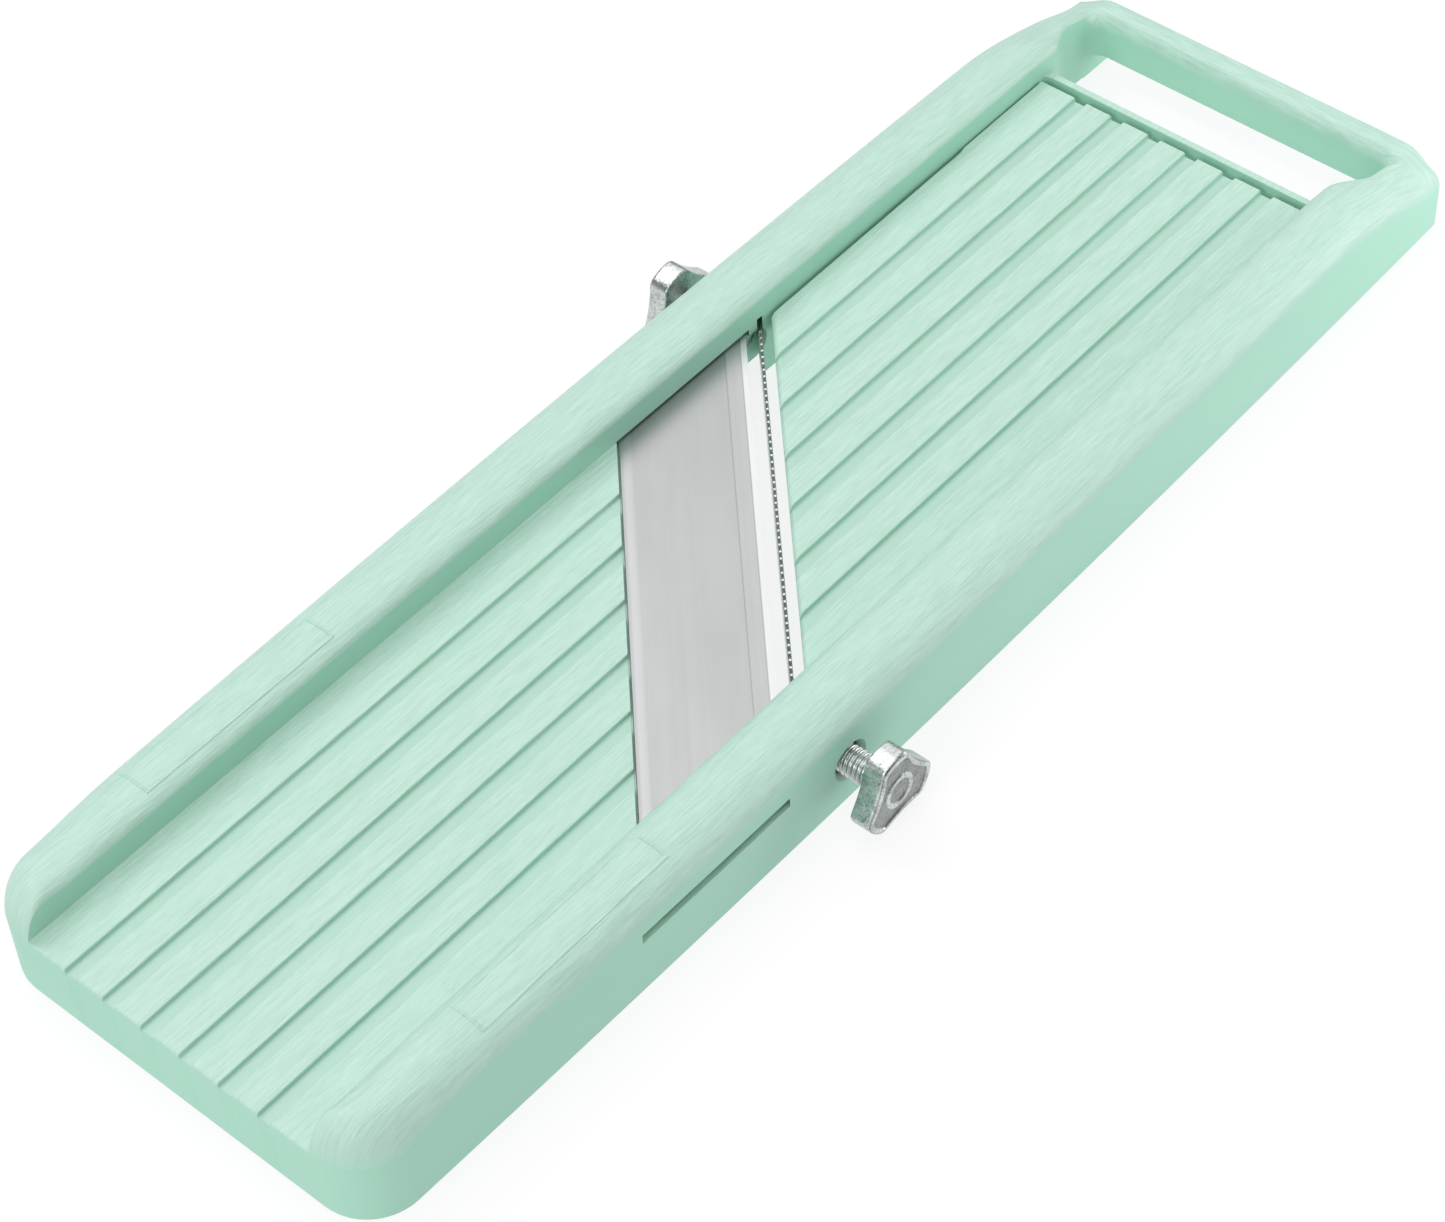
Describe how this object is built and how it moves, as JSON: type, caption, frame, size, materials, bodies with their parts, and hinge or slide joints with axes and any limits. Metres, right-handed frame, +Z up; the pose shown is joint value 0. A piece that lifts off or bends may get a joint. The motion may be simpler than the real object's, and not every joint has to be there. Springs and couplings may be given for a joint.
{
  "type": "mandoline slicer",
  "caption": "Hand-held vegetable slicer: grooved ramp between rails, slanted blade, comb blade, tilting plate set by a screw, side thumb screws and a carrying handle.",
  "frame": {"origin": "on the surface it stands on, under the middle of the body", "axes": "+X along the body towards the handle, +Y across the body, +Z up"},
  "size_m": [0.315, 0.1161, 0.023],
  "materials": {
    "green_plastic": "moulded, fine lengthwise grain, satin",
    "steel": "ground and polished",
    "zinc": "bright die-cast zinc",
    "brass": "turned"
  },
  "bodies": {
    "body": {"body_frame": "green_plastic", "plate_hinge_rod": "steel", "near_screw_nut": "steel", "far_screw_nut": "steel", "adjuster_insert": "brass"},
    "plate": {"tilting_plate": "green_plastic"},
    "blade": {"main_blade": "steel"},
    "comb": {"comb_blade": "steel"},
    "near_stud": {"near_screw_stud": "zinc"},
    "near_knob": {"near_screw_knob": "zinc"},
    "far_stud": {"far_screw_stud": "zinc"},
    "far_knob": {"far_screw_knob": "zinc"},
    "adjuster_stud": {"adjuster_stud": "zinc"},
    "adjuster_knob": {"adjuster_knob": "zinc"}
  },
  "joints": [
    {"name": "adjuster_travel", "type": "slide", "parent": "body", "child": "adjuster_stud", "axis": [0, 0, -1], "range_m": [0, 0.00176]},
    {"name": "adjuster_turn", "type": "hinge", "parent": "adjuster_stud", "child": "adjuster_knob", "pos_m": [0.0815, 0, 0.004], "axis": [0, 0, -1], "range_deg": [0, 630]},
    {"name": "plate_tilt", "type": "hinge", "parent": "body", "child": "plate", "pos_m": [0.1235, 0, 0.0114], "axis": [0, -1, 0], "range_deg": [0, 2.4]},
    {"name": "near_stud_travel", "type": "slide", "parent": "body", "child": "near_stud", "axis": [0, -1, 0], "range_m": [0, 0.00201]},
    {"name": "near_knob_turn", "type": "hinge", "parent": "near_stud", "child": "near_knob", "pos_m": [-0.0354, -0.056, 0.01], "axis": [0, -1, 0], "range_deg": [0, 720]},
    {"name": "far_stud_travel", "type": "slide", "parent": "body", "child": "far_stud", "axis": [0, 1, 0], "range_m": [0, 0.00201]},
    {"name": "far_knob_turn", "type": "hinge", "parent": "far_stud", "child": "far_knob", "pos_m": [0.0354, 0.056, 0.01], "axis": [0, 1, 0], "range_deg": [0, 720]},
    {"name": "comb_lift", "type": "slide", "parent": "body", "child": "comb", "axis": [0, 0, 1], "range_m": [-0.0035, 0.0025]},
    {"name": "blade_slide", "type": "slide", "parent": "body", "child": "blade", "axis": [-0.7224, -0.6915, 0], "range_m": [0, 0.1245]}
  ],
  "couplings": [
    {"joint": "adjuster_travel", "follows": "adjuster_turn", "m_per_rad": 0.00015915},
    {"joint": "plate_tilt", "follows": "adjuster_turn", "ratio": 0.0037894},
    {"joint": "near_stud_travel", "follows": "near_knob_turn", "m_per_rad": 0.00015915},
    {"joint": "far_stud_travel", "follows": "far_knob_turn", "m_per_rad": 0.00015915}
  ]
}
